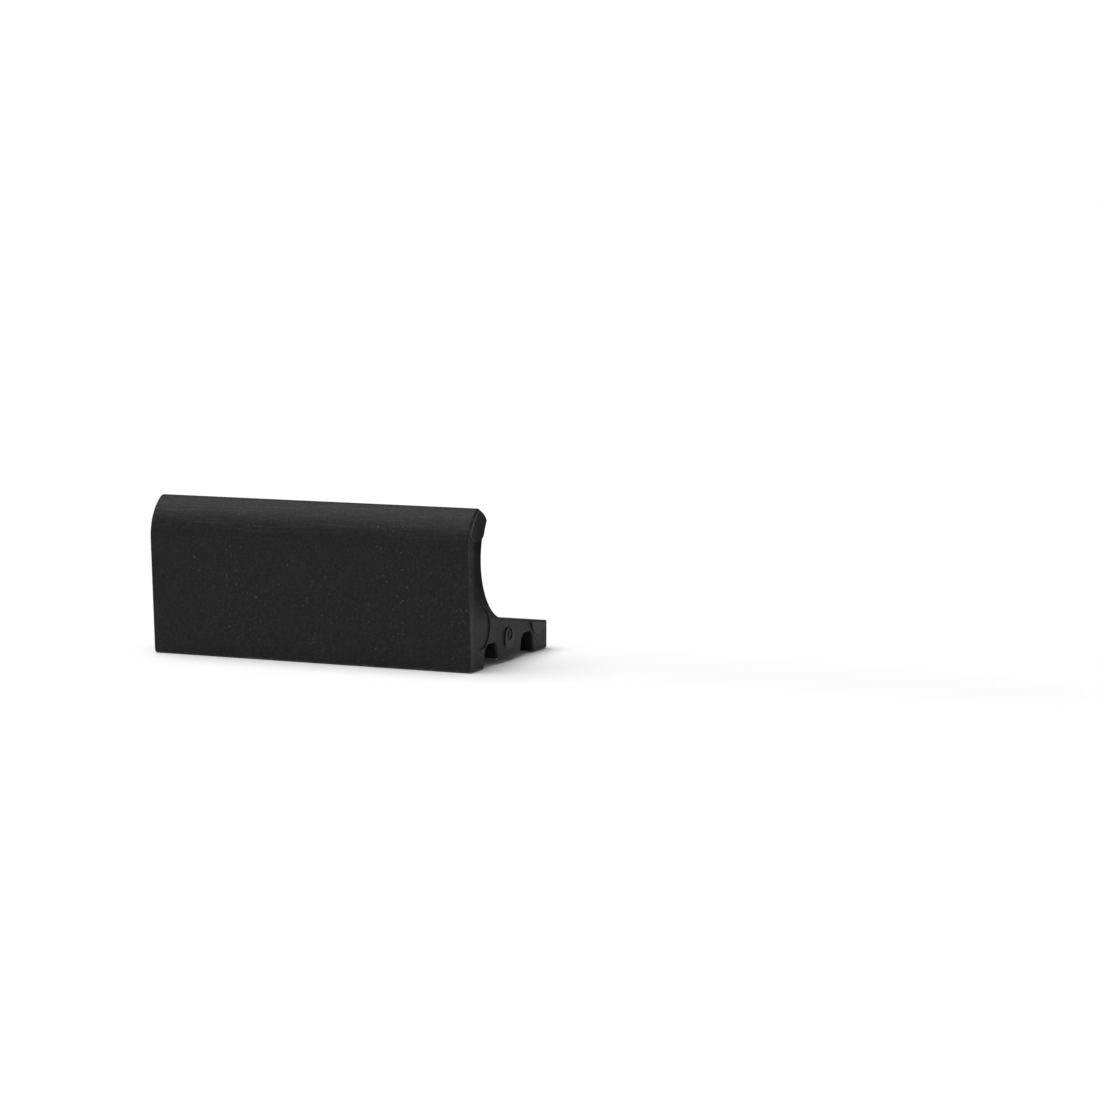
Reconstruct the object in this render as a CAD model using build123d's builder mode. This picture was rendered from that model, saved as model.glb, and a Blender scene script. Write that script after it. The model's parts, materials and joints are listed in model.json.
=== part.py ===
"""Floor glide for the round tube of a sled-base chair, in millimetres.

One long plastic moulding stands under the tube. Its outer skirt rises past the tube's
axis and hooks over it, its cradle carries the tube, and its toe reaches under the
tube to the inner side. Two self-tapping screws, driven up from the underside, hold it.

Frame: X along the tube, -Y towards the outer side of the chair, Z = 0 on the floor,
with the origin under the middle of the whole part.
"""
import os
from math import cos, radians, sin, tan

from build123d import *

# ---- driving dimensions -------------------------------------------------------------
length = 67.6  # along the tube
width = 37.6  # skirt to toe
back = width / 2  # Y of the toe's outer face

# tube and cradle
cradle_radius = 12.5  # for a 25 mm tube
cradle_y = -0.1
cradle_z = 20.8
lip_angle = 144.5  # where the cradle ends at the skirt's lip, from +Y, in degrees
toe_slope = 8.0  # fall of the toe's top, which leaves the cradle as its tangent

# skirt
skirt_foot_y = -17.58  # where the outer face would meet the floor
skirt_lean = 3.1  # the outer face leans out as it rises, in degrees
skirt_height = 22.3  # top of its flat stretch
shoulder_radius = 8.9  # rolls the outer face over towards the lip
crest_angle = 118.0  # where the shoulder ends, from +Y, in degrees
lip_radius = 6.5
crest_round = 1.5
lip_round = 0.8

# underside: two runners on the floor, a raised rib between them and two channels
outer_runner_end = -11.4
rib_start = -5.3
rib_end = 5.7
inner_runner_start = 11.8
rib_lift = 0.9  # the rib stays this far above the floor
channel_height = 4.4
outer_draft = 0.8  # the channels' sides towards the skirt lean in by this much
inner_draft = 0.4  # and the sides towards the toe by this much
outer_channel_round = 2.0
inner_channel_round = 1.4
runner_round = 0.6  # outer corners of the two runners
inner_round = 0.6  # corners beside the channels

# ends of the moulding, and the marks on its +X end as centre Y, centre Z and radius
end_round = 0.45
raised_marks = [(-14.7, 28.4, 4.0), (-0.1, 4.5, 2.1), (14.2, 7.5, 4.0)]
sunk_mark = (-12.8, 7.8, 4.0)
raised_height = 0.3  # the raised marks stand this far out, within the length
sunk_depth = 0.2
nub = (-0.1, 5.2)  # where the gate broke off, inside the middle mark
nub_radius = 0.5
nub_hollow_radius = 1.2

# screws: 4.2 mm self-tapping, 9.5 mm long, pan head with a cross recess
screw_spacing = 40.0
screw_hole_radius = 2.2
seat_radius = 4.3
seat_depth = 3.4
thread_radius = 2.1
neck_radius = 1.75
neck_length = 4.7  # plain part under the head, inside the moulding
screw_length = 9.5
tip_length = 2.2
tip_radius = 0.35
head_radius = 4.0
head_height = 2.9
head_dome = 1.3  # rounding of the head's lower rim
recess_length = 4.4
recess_width = 0.95
recess_depth = 1.5

os.makedirs("parts", exist_ok=True)

# ---- moulding -----------------------------------------------------------------------
skirt_top_y = skirt_foot_y - skirt_height * tan(radians(skirt_lean))
shoulder_y = skirt_top_y + shoulder_radius * cos(radians(skirt_lean))
shoulder_z = skirt_height + shoulder_radius * sin(radians(skirt_lean))
crest = (
    shoulder_y + shoulder_radius * cos(radians(crest_angle)),
    shoulder_z + shoulder_radius * sin(radians(crest_angle)),
)
lip_tip = (
    cradle_y + cradle_radius * cos(radians(lip_angle)),
    cradle_z + cradle_radius * sin(radians(lip_angle)),
)
cradle_end = (
    cradle_y - cradle_radius * sin(radians(toe_slope)),
    cradle_z - cradle_radius * cos(radians(toe_slope)),
)
toe_top = cradle_end[1] - (back - cradle_end[0]) * tan(radians(toe_slope))


def corners_at(sketch, height):
    """The sketch's corners at one height above the floor, from the skirt to the toe."""
    near = (height - 0.01, height + 0.01)
    return sketch.vertices().filter_by_position(Axis.Y, *near).sort_by(Axis.X)


with BuildPart() as glide_body:
    with BuildSketch(Plane.YZ.offset(-length / 2)) as profile:
        with BuildLine():
            skirt = Line((skirt_foot_y, 0), (skirt_top_y, skirt_height))
            CenterArc(
                (shoulder_y, shoulder_z),
                shoulder_radius,
                180 + skirt_lean,
                crest_angle - 180 - skirt_lean,
            )
            RadiusArc(crest, lip_tip, lip_radius)
            CenterArc(
                (cradle_y, cradle_z), cradle_radius, lip_angle, 270 - toe_slope - lip_angle
            )
            Polyline(
                cradle_end,
                (back, toe_top),
                (back, 0),
                (inner_runner_start, 0),
                (inner_runner_start - inner_draft, channel_height),
                (rib_end + outer_draft, channel_height),
                (rib_end, rib_lift),
                (rib_start, rib_lift),
                (rib_start - inner_draft, channel_height),
                (outer_runner_end + outer_draft, channel_height),
                (outer_runner_end, 0),
                skirt @ 0,
            )
        make_face()
        # in the sketch's own axes, X is the part's Y and Y is its Z
        fillet(profile.vertices().sort_by_distance(crest)[0], crest_round)
        fillet(profile.vertices().sort_by_distance(lip_tip)[0], lip_round)
        fillet(corners_at(profile, channel_height)[0::2], outer_channel_round)
        fillet(corners_at(profile, channel_height)[1::2], inner_channel_round)
        fillet(corners_at(profile, rib_lift), inner_round)
        fillet(corners_at(profile, 0)[1:-1], inner_round)
        fillet(corners_at(profile, 0)[0], runner_round)
        fillet(corners_at(profile, 0)[-1], runner_round)
    extrude(amount=length - raised_height)

    # both ends: a small round all along the outline
    fillet(glide_body.edges().group_by(Axis.X)[0], end_round)
    fillet(glide_body.edges().group_by(Axis.X)[-1], end_round)

    # moulding marks on the +X end, cut off where the round begins
    end_face = Plane.YZ.offset(length / 2 - raised_height)
    for mark_y, mark_z, mark_radius in raised_marks:
        with BuildSketch(end_face):
            add(profile.sketch_local)
            offset(amount=-end_round)
            with Locations((mark_y, mark_z)):
                Circle(mark_radius, mode=Mode.INTERSECT)
        extrude(amount=raised_height)
    with BuildSketch(end_face):
        with Locations(sunk_mark[:2]):
            Circle(sunk_mark[2])
    extrude(amount=-sunk_depth, mode=Mode.SUBTRACT)

    # the gate: a hollow in the middle mark, with the broken-off nub left in it
    with BuildSketch(Plane.YZ.offset(length / 2)):
        with Locations(nub):
            Circle(nub_hollow_radius)
            Circle(nub_radius, mode=Mode.SUBTRACT)
    extrude(amount=-sunk_depth, mode=Mode.SUBTRACT)

    # seats and holes for the screws, from the rib's underside
    with Locations(Plane((0, cradle_y, rib_lift), x_dir=(1, 0, 0), z_dir=(0, 0, -1))):
        with GridLocations(screw_spacing, 0, 2, 1):
            CounterBoreHole(screw_hole_radius, seat_radius, seat_depth)

glide_body.part.label = "glide_body"
export_step(glide_body.part, "parts/glide_body.step")

# ---- screws -------------------------------------------------------------------------
seat_z = rib_lift + seat_depth
head_z = seat_z - head_height


def make_screw(name, x):
    """A pan-head self-tapping screw that points up, with its head seated at seat_z."""
    with BuildPart() as screw:
        with BuildSketch(Plane((x, cradle_y, 0), x_dir=(1, 0, 0), z_dir=(0, -1, 0))):
            with BuildLine():
                rim = Line((0, head_z), (head_radius - head_dome, head_z))
                RadiusArc(rim @ 1, (head_radius, head_z + head_dome), -head_dome)
                Polyline(
                    (head_radius, head_z + head_dome),
                    (head_radius, seat_z),
                    (neck_radius, seat_z),
                    (neck_radius, seat_z + neck_length),
                    (thread_radius, seat_z + neck_length),
                    (thread_radius, seat_z + screw_length - tip_length),
                    (tip_radius, seat_z + screw_length),
                    (0, seat_z + screw_length),
                    (0, head_z),
                )
            make_face()
        revolve(axis=Axis((x, cradle_y, 0), (0, 0, 1)))
        with BuildSketch(Plane.XY.offset(head_z)):
            with Locations((x, cradle_y)):
                Rectangle(recess_length, recess_width)
                Rectangle(recess_width, recess_length)
        extrude(amount=recess_depth, taper=8, mode=Mode.SUBTRACT)
    screw.part.label = name
    export_step(screw.part, f"parts/{name}.step")


make_screw("fixing_screw_left", -screw_spacing / 2)
make_screw("fixing_screw_right", screw_spacing / 2)
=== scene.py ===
"""A black plastic floor glide for a sled-base chair, with its two fixing screws."""
import json
import math

import bmesh
import bpy
from mathutils import Matrix, Vector


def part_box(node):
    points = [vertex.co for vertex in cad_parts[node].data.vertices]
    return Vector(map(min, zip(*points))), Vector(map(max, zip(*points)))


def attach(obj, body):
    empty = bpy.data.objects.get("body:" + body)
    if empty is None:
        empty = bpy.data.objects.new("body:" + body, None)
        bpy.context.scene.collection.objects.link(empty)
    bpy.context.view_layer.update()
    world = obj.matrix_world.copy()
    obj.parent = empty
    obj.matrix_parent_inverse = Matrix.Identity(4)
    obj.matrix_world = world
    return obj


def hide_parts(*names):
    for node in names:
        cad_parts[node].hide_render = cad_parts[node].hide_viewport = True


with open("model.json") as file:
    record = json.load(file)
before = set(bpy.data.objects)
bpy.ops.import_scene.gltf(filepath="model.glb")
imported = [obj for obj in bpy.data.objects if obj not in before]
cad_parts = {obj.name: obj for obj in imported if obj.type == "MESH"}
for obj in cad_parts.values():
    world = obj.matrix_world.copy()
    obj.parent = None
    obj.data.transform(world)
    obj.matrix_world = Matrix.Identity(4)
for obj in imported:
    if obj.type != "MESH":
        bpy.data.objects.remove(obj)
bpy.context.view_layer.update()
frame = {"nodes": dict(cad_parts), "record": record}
scene = bpy.context.scene
MM = 0.001

# ---- sizes and places, in millimetres ---------------------------------------------------
END_FACE = 33.5  # X of the +X end's flat face
RAISED_FACE = 33.8  # X of the raised marks on it
FLAG_START = 33.9
FLAG_LENGTH = 112.0
FLAG_RADIUS = 12.3

HEAD_HEIGHT = 2.9
HEAD_PROFILE = [  # radius, and height above the head's underside
    (2.50, 0.00),
    (2.74, 0.02),
    (3.20, 0.14),
    (3.56, 0.38),
    (3.82, 0.74),
    (3.96, 1.16),
    (4.00, 1.55),
    (4.00, 2.62),
    (3.93, 2.80),
    (3.75, HEAD_HEIGHT),
]
RECESS_SECTIONS = [  # a wing's half length and half width, and depth into the head
    (2.20, 0.48, -0.50),
    (2.20, 0.48, 0.00),
    (1.25, 0.30, 1.75),
]
SHANK_PROFILE = [  # radius, and height above the seat
    (1.95, -0.05),
    (1.78, 0.10),
    (1.75, 0.25),
    (1.75, 4.60),
    (1.52, 4.85),
]
THREAD_START = 4.1  # above the seat
THREAD_PITCH = 1.4
THREAD_SECTION = [  # share of the pitch, and share of the thread's depth
    (0.00, 0.0),
    (0.30, 0.0),
    (0.46, 1.0),
    (0.54, 1.0),
    (0.70, 0.0),
    (1.00, 0.0),
]
CREST_RADIUS = 2.1
ROOT_RADIUS = 1.52
TIP_LENGTH = 2.2
TIP_RADIUS = 0.35
FADE_IN_TURNS = 0.6  # the thread grows to its full depth over this part of a turn
TIP_DEPTH = 0.25  # share of the thread's depth that is left at the tip

HEAD_SIDES = 64
THREAD_SIDES = 40
SHARP_ANGLE = math.radians(38)


# ---- camera, light and floor ------------------------------------------------------------
def make_camera():
    """A long lens, a little above the floor, that sees the skirt and the +X end."""
    data = bpy.data.cameras.new("camera")
    data.sensor_width = 36.0
    data.lens = 104.35
    data.clip_start = 0.01
    camera = bpy.data.objects.new("camera", data)
    scene.collection.objects.link(camera)
    camera.location = Vector((275.1, -551.0, 91.1)) * MM
    pitch_down, turn_left, roll = 6.616, 22.93, 0.13
    turn = (
        Matrix.Rotation(math.radians(turn_left), 3, "Z")
        @ Matrix.Rotation(math.radians(90 - pitch_down), 3, "X")
        @ Matrix.Rotation(math.radians(roll), 3, "Z")
    )
    camera.rotation_euler = turn.to_euler()
    scene.camera = camera


def add_sun(name, strength, spread, source):
    """A sun that shines from source to the origin, as wide as spread in degrees."""
    data = bpy.data.lights.new(name, "SUN")
    data.energy = strength
    data.angle = math.radians(spread)
    sun = bpy.data.objects.new(name, data)
    scene.collection.objects.link(sun)
    sun.location = source
    sun.rotation_euler = (-Vector(source)).to_track_quat("-Z", "Y").to_euler()


def make_world():
    """A dim studio: a white wall behind the part, a soft front fill and a faint ceiling."""
    world = bpy.data.worlds.new("studio")
    scene.world = world
    world.use_nodes = True
    nodes, links = world.node_tree.nodes, world.node_tree.links
    coords = nodes.new("ShaderNodeTexCoord")
    split = nodes.new("ShaderNodeSeparateXYZ")
    links.new(coords.outputs["Generated"], split.inputs[0])
    height = split.outputs["Z"]
    toward = nodes.new("ShaderNodeVectorMath")
    toward.operation = "DOT_PRODUCT"
    toward.inputs[1].default_value = (-0.39, 0.92, 0)
    links.new(coords.outputs["Generated"], toward.inputs[0])
    away = toward.outputs["Value"]  # 1 behind the part, -1 in front of it

    def fade(value, low, high, start, end):
        node = nodes.new("ShaderNodeMapRange")
        node.inputs["From Min"].default_value = low
        node.inputs["From Max"].default_value = high
        node.inputs["To Min"].default_value = start
        node.inputs["To Max"].default_value = end
        links.new(value, node.inputs["Value"])
        return node.outputs[0]

    def combine(operation, *sources):
        node = nodes.new("ShaderNodeMath")
        node.operation = operation
        for source, socket in zip(sources, node.inputs):
            links.new(source, socket)
        return node.outputs[0]

    wall_band = fade(height, 0.09, 0.16, 1.0, 0.0)
    wall = combine("MULTIPLY", wall_band, fade(away, 0.90, 0.95, 0.0, 0.80))
    front_band = fade(height, 0.35, 0.75, 1.0, 0.0)
    front = combine("MULTIPLY", front_band, fade(away, -0.2, -0.9, 0.22, 0.66))
    ceiling = fade(height, 0.35, 0.75, 0.0, 0.22)
    total = combine("ADD", combine("ADD", wall, front), ceiling)
    above_floor = fade(height, -0.04, -0.02, 0.0, 1.0)
    background = nodes["Background"]
    background.inputs["Color"].default_value = (1, 1, 1, 1)
    links.new(combine("MULTIPLY", total, above_floor), background.inputs["Strength"])


def grey(value):
    return (value, value, value, 1)


def plain_material(name, **settings):
    """A material for the stage, and its surface, which gets these settings."""
    material = bpy.data.materials.new(name)
    material.use_nodes = True
    surface = material.node_tree.nodes["Principled BSDF"]
    for setting, value in settings.items():
        surface.inputs[setting.replace("_", " ")].default_value = value
    return material, surface


def make_floor():
    """A pale floor that is clear from below, so that the underside can be looked at."""
    bpy.ops.mesh.primitive_plane_add(size=40)
    floor = bpy.context.object
    floor.name = "floor"
    pale, surface = plain_material(
        "pale_floor", Base_Color=grey(0.9), Roughness=0.8, Specular_IOR_Level=0.1
    )
    nodes, links = pale.node_tree.nodes, pale.node_tree.links
    side = nodes.new("ShaderNodeNewGeometry")
    clear = nodes.new("ShaderNodeBsdfTransparent")
    either = nodes.new("ShaderNodeMixShader")
    links.new(side.outputs["Backfacing"], either.inputs[0])
    links.new(surface.outputs[0], either.inputs[1])
    links.new(clear.outputs[0], either.inputs[2])
    links.new(either.outputs[0], nodes["Material Output"].inputs["Surface"])
    floor.data.materials.append(pale)
    floor.location.z = -0.02 * MM
    floor.visible_shadow = False


def make_lower_backdrop():
    """A plain grey sheet far below the floor, behind the underside."""
    bpy.ops.mesh.primitive_plane_add(size=60, location=(0, 0, -4))
    sheet = bpy.context.object
    sheet.name = "lower_backdrop"
    backdrop, _ = plain_material(
        "grey_backdrop", Base_Color=grey(0), Emission_Color=grey(1), Emission_Strength=0.30
    )
    backdrop.cycles.emission_sampling = "NONE"
    sheet.data.materials.append(backdrop)
    sheet.visible_shadow = False


def make_flag():
    """A dark rod past the +X end that shades it as the chair's tube would.

    No camera sees it.
    """
    mounts = {mount["name"]: mount["pos_m"] for mount in frame["record"]["mounts"]}
    _, tube_y, tube_z = mounts["tube_cradle"]
    bpy.ops.mesh.primitive_cylinder_add(
        vertices=48,
        radius=FLAG_RADIUS * MM,
        depth=FLAG_LENGTH * MM,
        location=((FLAG_START + FLAG_LENGTH / 2) * MM, tube_y, tube_z),
        rotation=(0, math.radians(90), 0),
    )
    flag = bpy.context.object
    flag.name = "flag"
    dark, _ = plain_material("dark_flag", Base_Color=grey(0.10))
    flag.data.materials.append(dark)
    flag.visible_camera = False
    flag.visible_shadow = False


scene.view_settings.view_transform = "Standard"
make_camera()
make_world()
make_floor()
make_lower_backdrop()
make_flag()
add_sun("overhead", 3.0, 60, (-0.25, -0.14, 1.0))
add_sun("underside", 1.7, 6, (0.0, 0.45, -0.9))


# ---- materials --------------------------------------------------------------------------
class Shader:
    """Adds nodes to one material and wires them up. Places and sizes are in millimetres."""

    def __init__(self, name, roughness, specular, metallic=0.0):
        self.material = bpy.data.materials.new(name)
        self.material.use_nodes = True
        self.tree = self.material.node_tree
        self.surface = self.tree.nodes["Principled BSDF"]
        self.surface.inputs["Roughness"].default_value = roughness
        self.surface.inputs["Specular IOR Level"].default_value = specular
        self.surface.inputs["Metallic"].default_value = metallic
        coords = self.tree.nodes.new("ShaderNodeTexCoord")
        self.place = self.scaled(coords.outputs["Object"], (1000, 1000, 1000))
        split = self.tree.nodes.new("ShaderNodeSeparateXYZ")
        self.link(self.place, split.inputs[0])
        self.x, self.y, self.z = split.outputs

    def link(self, source, socket):
        self.tree.links.new(source, socket)

    def scaled(self, vector, scale):
        """The vector times scale, axis by axis."""
        node = self.tree.nodes.new("ShaderNodeVectorMath")
        node.operation = "MULTIPLY"
        self.link(vector, node.inputs[0])
        node.inputs[1].default_value = scale
        return node.outputs[0]

    def noise(self, scale, detail=2.0, roughness=0.5, stretch=(1, 1, 1)):
        """Noise from 0 to 1. Scale is in features per millimetre."""
        node = self.tree.nodes.new("ShaderNodeTexNoise")
        node.inputs["Scale"].default_value = scale
        node.inputs["Detail"].default_value = detail
        node.inputs["Roughness"].default_value = roughness
        self.link(self.scaled(self.place, stretch), node.inputs["Vector"])
        return node.outputs["Fac"]

    def math(self, operation, a, b=0.0):
        node = self.tree.nodes.new("ShaderNodeMath")
        node.operation = operation
        for socket, value in zip(node.inputs, (a, b)):
            if isinstance(value, (int, float)):
                socket.default_value = value
            else:
                self.link(value, socket)
        return node.outputs[0]

    def times(self, a, b):
        return self.math("MULTIPLY", a, b)

    def ramp(self, value, low, high, start=0.0, end=1.0):
        """Start at low, end at high, and smooth between them. Low may be above high."""
        node = self.tree.nodes.new("ShaderNodeMapRange")
        node.interpolation_type = "SMOOTHSTEP"
        node.inputs["From Min"].default_value = low
        node.inputs["From Max"].default_value = high
        node.inputs["To Min"].default_value = start
        node.inputs["To Max"].default_value = end
        self.link(value, node.inputs["Value"])
        return node.outputs[0]

    def ragged(self, amount, scale):
        """The place, shaken by up to this amount."""
        shake = self.tree.nodes.new("ShaderNodeTexNoise")
        shake.inputs["Scale"].default_value = scale
        self.link(self.place, shake.inputs["Vector"])
        shift = self.scaled(shake.outputs["Color"], (amount, amount, amount))
        moved = self.tree.nodes.new("ShaderNodeVectorMath")
        moved.operation = "ADD"
        self.link(self.place, moved.inputs[0])
        self.link(shift, moved.inputs[1])
        return moved.outputs[0]

    def flecks(self, scale, radius, share):
        """Separate ragged specks: 1 at the middle of a share of the cells, 0 between them."""
        node = self.tree.nodes.new("ShaderNodeTexVoronoi")
        node.inputs["Scale"].default_value = scale
        self.link(self.ragged(amount=0.5, scale=2.5), node.inputs["Vector"])
        chosen = self.tree.nodes.new("ShaderNodeSeparateColor")
        self.link(node.outputs["Color"], chosen.inputs[0])
        keep = self.math("LESS_THAN", chosen.outputs[0], share)
        spot = self.ramp(node.outputs["Distance"], radius * 0.4, radius, 1.0, 0.0)
        return self.times(keep, spot)

    def scratches(self, direction, scale):
        """Thin long lines on a level face, at this direction in degrees from +X."""
        turn = self.tree.nodes.new("ShaderNodeVectorRotate")
        turn.rotation_type = "Z_AXIS"
        turn.inputs["Angle"].default_value = math.radians(direction)
        self.link(self.place, turn.inputs["Vector"])
        node = self.tree.nodes.new("ShaderNodeTexNoise")
        node.inputs["Scale"].default_value = scale
        node.inputs["Detail"].default_value = 3.0
        self.link(self.scaled(turn.outputs[0], (0.05, 1.6, 0)), node.inputs["Vector"])
        off_middle = self.math("ABSOLUTE", self.math("SUBTRACT", node.outputs["Fac"], 0.5))
        return self.ramp(off_middle, 0.004, 0.014, 1.0, 0.0)

    def mix(self, amount, under, over):
        """Under where amount is 0, over where it is 1. Either may be a colour or a socket."""
        node = self.tree.nodes.new("ShaderNodeMix")
        node.data_type = "RGBA"
        self.link(amount, node.inputs["Factor"])
        for socket, value in ((node.inputs[6], under), (node.inputs[7], over)):
            if isinstance(value, tuple):
                socket.default_value = (*value, 1)
            else:
                self.link(value, socket)
        return node.outputs[2]

    def bump(self, height, distance, normal=None):
        """A bump this high, on top of another normal if one is given."""
        node = self.tree.nodes.new("ShaderNodeBump")
        node.inputs["Distance"].default_value = distance * MM
        self.link(height, node.inputs["Height"])
        if normal is not None:
            self.link(normal, node.inputs["Normal"])
        return node.outputs[0]

    def finish(self, color, roughness, normal):
        self.link(color, self.surface.inputs["Base Color"])
        self.link(roughness, self.surface.inputs["Roughness"])
        self.link(normal, self.surface.inputs["Normal"])
        return self.material


def black_plastic():
    """Spark-eroded black polypropylene, with dust specks, wear on the runners, and painted
    highlights on the shoulder and along the skirt's +X edge.
    """
    s = Shader("black_plastic", 0.55, 0.20)
    mottle = s.noise(0.22, 4.0, 0.6)
    cloud = s.noise(1.6, 4.0, 0.65)
    grain = s.noise(4.5, 3.0, 0.6)
    color = s.mix(s.ramp(mottle, 0.3, 0.7), (0.0048, 0.0048, 0.0049), (0.0068, 0.0068, 0.0069))
    color = s.mix(s.ramp(cloud, 0.38, 0.68, 0.0, 0.6), color, (0.0150, 0.0150, 0.0152))

    # dust, bright grains and pits of the mould's texture, the first two in crowds
    crowd = s.ramp(s.noise(0.09, 3.0, 0.7), 0.40, 0.62, 0.25, 1.0)
    specks = s.times(s.flecks(1.0, 0.24, 0.22), crowd)
    fine_specks = s.times(s.flecks(2.1, 0.36, 0.30), crowd)
    pits = s.flecks(1.4, 0.32, 0.30)
    color = s.mix(s.times(specks, 0.8), color, (0.052, 0.052, 0.051))
    color = s.mix(s.times(fine_specks, 0.6), color, (0.042, 0.042, 0.042))
    color = s.mix(s.times(pits, 0.6), color, (0.004, 0.004, 0.004))

    # faint lengthwise drag lines over the shoulder, paler there partly as a painted highlight
    # along the top
    streaks = s.noise(3.2, 3.0, 0.6, stretch=(0.035, 1, 1))
    shoulder = s.ramp(s.z, 21.0, 29.0)
    drag_lines_and_shoulder_sheen = s.times(s.ramp(streaks, 0.52, 0.70), shoulder)
    color = s.mix(s.times(drag_lines_and_shoulder_sheen, 0.5), color, (0.040, 0.040, 0.040))

    # painted highlight along the skirt's edge at the +X end, stronger towards the top
    end = s.ramp(s.x, END_FACE - 0.20, END_FACE)
    skirt = s.ramp(s.y, -15.0, -17.0)
    edge = s.times(s.times(end, skirt), s.ramp(cloud, 0.3, 0.6, 0.35, 1.0))
    edge = s.times(edge, s.ramp(s.z, 4.0, 28.0, 0.45, 1.0))
    color = s.mix(s.times(edge, 0.60), color, (0.075, 0.075, 0.075))

    # the raised marks there, a little paler
    marks = s.ramp(s.x, RAISED_FACE - 0.20, RAISED_FACE - 0.05)
    color = s.mix(s.times(marks, 0.6), color, (0.032, 0.032, 0.032))

    # scratched and rubbed runners
    lines = s.math("MAXIMUM", s.scratches(18, 0.9), s.scratches(74, 0.7))
    lines = s.times(lines, s.ramp(mottle, 0.42, 0.58, 0.15, 1.0))
    runners = s.ramp(s.z, 0.6, 0.1)
    scuff = s.times(lines, runners)
    rubbed = s.times(runners, s.ramp(cloud, 0.3, 0.7, 0.1, 0.5))
    color = s.mix(rubbed, color, (0.030, 0.030, 0.030))
    color = s.mix(s.times(scuff, 0.8), color, (0.085, 0.083, 0.080))

    rough = s.ramp(grain, 0.3, 0.7, 0.50, 0.64)
    rough = s.math("ADD", rough, s.times(scuff, 0.12))
    normal = s.bump(grain, 0.030)
    normal = s.bump(cloud, 0.030, normal)
    normal = s.bump(scuff, -0.02, normal)
    return s.finish(color, rough, normal)


def zinc_steel():
    """Zinc-plated steel: fine turning lines, cloudy plating and a little grime."""
    s = Shader("screw_steel", 0.35, 0.5, 1.0)
    cloud = s.noise(0.9, 4.0, 0.6)
    turning = s.noise(9.0, 2.0, 0.5, stretch=(0.25, 0.25, 2.0))
    grime = s.noise(2.2, 4.0, 0.65)
    color = s.mix(s.ramp(cloud, 0.3, 0.7), (0.50, 0.50, 0.50), (0.66, 0.66, 0.64))
    color = s.mix(s.ramp(grime, 0.58, 0.72, 0.0, 0.7), color, (0.20, 0.19, 0.17))
    rough = s.ramp(cloud, 0.3, 0.7, 0.28, 0.46)
    normal = s.bump(turning, 0.006)
    return s.finish(color, rough, normal)


plastic = black_plastic()
steel = zinc_steel()

body = frame["nodes"]["glide_body"]
body.data.materials.clear()
body.data.materials.append(plastic)


# ---- screws -----------------------------------------------------------------------------
def around(center, radius, angle, z):
    """A point at this radius and angle round a vertical axis through center."""
    return (center[0] + radius * math.cos(angle), center[1] + radius * math.sin(angle), z)


def join_rings(mesh, lower, upper):
    """A band of quads between two closed rings of vertices."""
    count = len(lower)
    for i in range(count):
        j = (i + 1) % count
        mesh.faces.new((lower[i], lower[j], upper[j], upper[i]))


def to_object(mesh, name):
    """The mesh, drawn in millimetres, as an object in metres."""
    bmesh.ops.scale(mesh, vec=(MM, MM, MM), verts=mesh.verts)
    bmesh.ops.recalc_face_normals(mesh, faces=mesh.faces)
    data = bpy.data.meshes.new(name)
    mesh.to_mesh(data)
    mesh.free()
    made = bpy.data.objects.new(name, data)
    scene.collection.objects.link(made)
    return made


def turned(name, center, profile, base_z, sides):
    """A closed solid turned from a profile of (radius, height above base_z) pairs."""
    mesh = bmesh.new()
    angles = [2 * math.pi * i / sides for i in range(sides)]
    rings = [
        [mesh.verts.new(around(center, radius, angle, base_z + height)) for angle in angles]
        for radius, height in profile
    ]
    for lower, upper in zip(rings, rings[1:]):
        join_rings(mesh, lower, upper)
    mesh.faces.new(list(reversed(rings[0])))
    mesh.faces.new(rings[-1])
    return to_object(mesh, name)


def cut_cross(head, center, head_z):
    """Cuts a cross recess into the head's underside: four wings and a deeper middle."""
    mesh = bmesh.new()
    for turn in (0, 90):
        spin = Matrix.Rotation(math.radians(turn), 4, "Z")
        rows = []
        for half_length, half_width, depth in RECESS_SECTIONS:
            corners = [
                (-half_length, half_width),
                (half_length, half_width),
                (half_length, -half_width),
                (-half_length, -half_width),
            ]
            middle = Vector((*center, head_z + depth))
            rows.append([mesh.verts.new(spin @ Vector((x, y, 0)) + middle) for x, y in corners])
        for lower, upper in zip(rows, rows[1:]):
            join_rings(mesh, lower, upper)
        mesh.faces.new(rows[0])
        mesh.faces.new(rows[-1])
    cutter = to_object(mesh, "cutter")
    cut = head.modifiers.new("cut", "BOOLEAN")
    cut.operation = "DIFFERENCE"
    cut.solver = "EXACT"
    cut.use_self = True
    cut.object = cutter
    graph = bpy.context.evaluated_depsgraph_get()
    data = bpy.data.meshes.new_from_object(head.evaluated_get(graph))
    head.modifiers.clear()
    head.data = data
    bpy.data.objects.remove(cutter)


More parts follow.
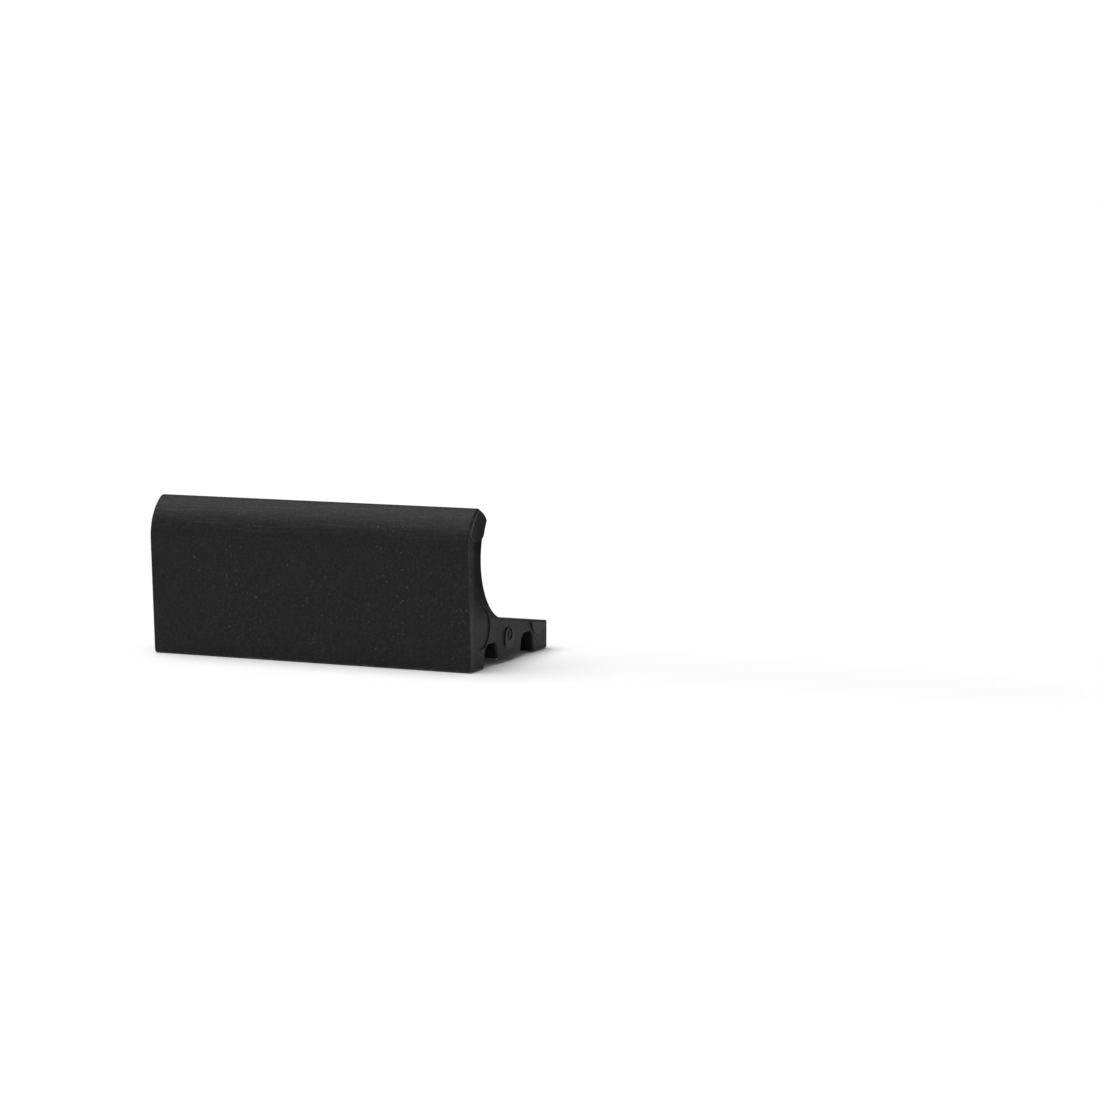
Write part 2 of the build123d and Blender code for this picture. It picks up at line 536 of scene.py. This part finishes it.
def thread(name, center, start_z, end_z):
    """A helical thread round its core, from start_z to the tip at end_z."""
    mesh = bmesh.new()
    turns = (end_z - start_z) / THREAD_PITCH - 1.0
    steps = int(round(turns * THREAD_SIDES))
    rows = []
    for i in range(steps + 1):
        angle = 2 * math.pi * i / THREAD_SIDES
        fade = min(1.0, i / (FADE_IN_TURNS * THREAD_SIDES))
        row = []
        for share, rise in THREAD_SECTION:
            z = start_z + THREAD_PITCH * (i / THREAD_SIDES + share)
            taper = min(1.0, max(0.0, (end_z - z) / TIP_LENGTH))
            core = TIP_RADIUS + (ROOT_RADIUS - TIP_RADIUS) * taper
            full_depth = (CREST_RADIUS - ROOT_RADIUS) * (TIP_DEPTH + (1 - TIP_DEPTH) * taper)
            radius = core + full_depth * rise * fade
            row.append(mesh.verts.new(around(center, radius, angle, z)))
        rows.append(row)
    for a, b in zip(rows, rows[1:]):
        for k in range(len(a) - 1):
            mesh.faces.new((a[k], b[k], b[k + 1], a[k + 1]))
    # each turn's upper edge meets the next turn's lower edge, and the two ends are closed
    bmesh.ops.remove_doubles(mesh, verts=mesh.verts, dist=0.004)
    open_edges = [edge for edge in mesh.edges if edge.is_boundary]
    bmesh.ops.holes_fill(mesh, edges=open_edges, sides=0)
    return to_object(mesh, name)


def make_screw(node, body_name):
    """A pan-head self-tapping screw in place of the CAD's plain one."""
    low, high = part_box(node)
    center = ((low.x + high.x) / 2 / MM, (low.y + high.y) / 2 / MM)
    head_z, tip_z = low.z / MM, high.z / MM
    seat_z = head_z + HEAD_HEIGHT
    head = turned(node + "_head", center, HEAD_PROFILE, head_z, HEAD_SIDES)
    cut_cross(head, center, head_z)
    shank = turned(node + "_shank", center, SHANK_PROFILE, seat_z, THREAD_SIDES)
    screw_thread = thread(node + "_thread", center, seat_z + THREAD_START, tip_z)
    for piece in (head, shank, screw_thread):
        piece.data.materials.append(steel)
        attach(piece, body_name)
        for face in piece.data.polygons:
            face.use_smooth = True
        piece.data.set_sharp_from_angle(angle=SHARP_ANGLE)
    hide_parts(node)


make_screw("fixing_screw_left", "screw_left")
make_screw("fixing_screw_right", "screw_right")
